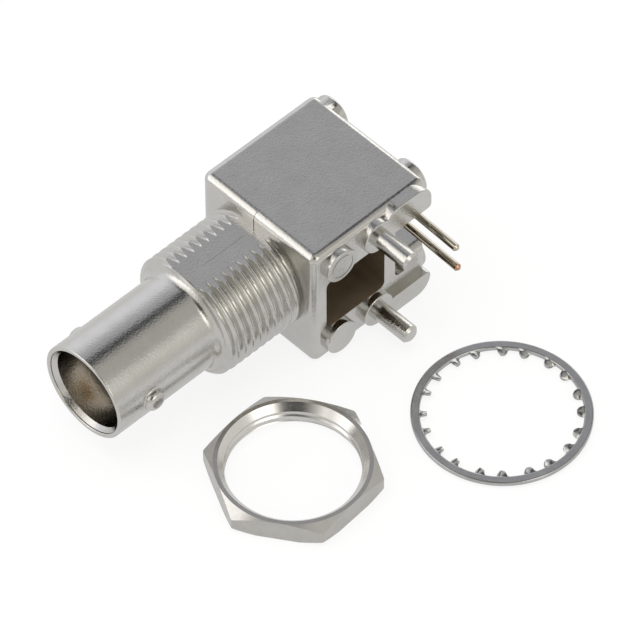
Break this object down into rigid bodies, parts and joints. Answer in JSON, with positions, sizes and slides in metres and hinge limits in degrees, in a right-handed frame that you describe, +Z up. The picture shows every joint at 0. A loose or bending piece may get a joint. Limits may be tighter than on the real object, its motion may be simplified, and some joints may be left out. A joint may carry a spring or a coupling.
{
  "type": "right-angle bnc connector jack",
  "caption": "Right-angle bayonet coaxial jack for a circuit board, die-cast, with its hexagonal panel nut and internal tooth lock washer beside it.",
  "frame": {"origin": "on the floor, in the middle of the ground that the jack, nut and washer cover", "axes": "+Z up; the barrel lies along Y with its mouth towards -Y; the board pins and pegs point along +X"},
  "size_m": [0.0386, 0.0372, 0.0145],
  "materials": {
    "nickel_casting": "satin nickel plate over a zinc casting",
    "nickel_nut": "bright turned nickel plated brass",
    "plated_steel": "bluish plated spring steel",
    "tinned_wire": "tinned copper wire",
    "gold_plate": "gold plated brass",
    "insulator_plastic": "off-white moulded plastic"
  },
  "bodies": {
    "root": {"cast_housing": "nickel_casting", "panel_nut": "nickel_nut", "lock_washer": "plated_steel", "signal_pin": "tinned_wire", "ground_pin": "tinned_wire", "centre_contact": "gold_plate", "insulator": "insulator_plastic"}
  },
  "joints": []
}
